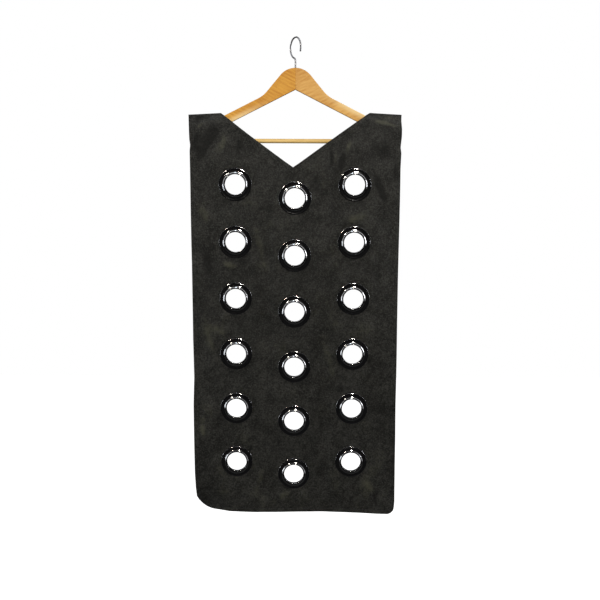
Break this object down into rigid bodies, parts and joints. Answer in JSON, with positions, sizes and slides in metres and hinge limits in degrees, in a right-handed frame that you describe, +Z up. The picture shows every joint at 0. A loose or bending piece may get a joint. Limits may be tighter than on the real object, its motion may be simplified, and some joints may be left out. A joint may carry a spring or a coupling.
{
  "type": "scarf hanger",
  "caption": "Wooden swivel-hook hanger with a black leatherette cover whose columns of large eyelets hold scarves.",
  "frame": {"origin": "inside top of the hook's loop, where it rests on the rail", "axes": "+Z up, +X to the right seen from the front, which faces -Y"},
  "size_m": [0.4548, 0.041, 1.0629],
  "materials": {
    "hook_steel": "bright chrome-plated steel wire",
    "hanger_wood": "honey-varnished beech, semi-gloss",
    "bar_wood": "varnished beech dowel, satin",
    "brad_steel": "bright steel brad",
    "leatherette": "black leatherette with a fine grain, soft sheen and handling creases",
    "lining": "black backing cloth, matte",
    "black_nickel": "polished black nickel"
  },
  "bodies": {
    "hook": {"hook": "hook_steel"},
    "hanger": {"hanger_arm_left": "hanger_wood", "hanger_arm_right": "hanger_wood", "joint_dowel": "bar_wood", "trouser_bar": "bar_wood", "bar_pin_left": "brad_steel", "bar_pin_right": "brad_steel"},
    "cover": {"panel_front": "leatherette", "panel_lining": "lining", "shoulder_pocket_left": "leatherette", "shoulder_pocket_right": "leatherette", "eyelet_left_1": "black_nickel", "eyelet_left_2": "black_nickel", "eyelet_left_3": "black_nickel", "eyelet_left_4": "black_nickel", "eyelet_left_5": "black_nickel", "eyelet_left_6": "black_nickel", "eyelet_centre_1": "black_nickel", "eyelet_centre_2": "black_nickel", "eyelet_centre_3": "black_nickel", "eyelet_centre_4": "black_nickel", "eyelet_centre_5": "black_nickel", "eyelet_centre_6": "black_nickel", "eyelet_right_1": "black_nickel", "eyelet_right_2": "black_nickel", "eyelet_right_3": "black_nickel", "eyelet_right_4": "black_nickel", "eyelet_right_5": "black_nickel", "eyelet_right_6": "black_nickel", "washer_left_1": "black_nickel", "washer_left_2": "black_nickel", "washer_left_3": "black_nickel", "washer_left_4": "black_nickel", "washer_left_5": "black_nickel", "washer_left_6": "black_nickel", "washer_centre_1": "black_nickel", "washer_centre_2": "black_nickel", "washer_centre_3": "black_nickel", "washer_centre_4": "black_nickel", "washer_centre_5": "black_nickel", "washer_centre_6": "black_nickel", "washer_right_1": "black_nickel", "washer_right_2": "black_nickel", "washer_right_3": "black_nickel", "washer_right_4": "black_nickel", "washer_right_5": "black_nickel", "washer_right_6": "black_nickel"}
  },
  "joints": [
    {"name": "hook_swivel", "type": "hinge", "parent": "hook", "child": "hanger", "pos_m": [0, 0, -0.07], "axis": [0, 0, 1], "continuous": true},
    {"name": "cover_lift", "type": "slide", "parent": "hanger", "child": "cover", "axis": [0, 0, 1], "range_m": [0, 0.105]}
  ]
}
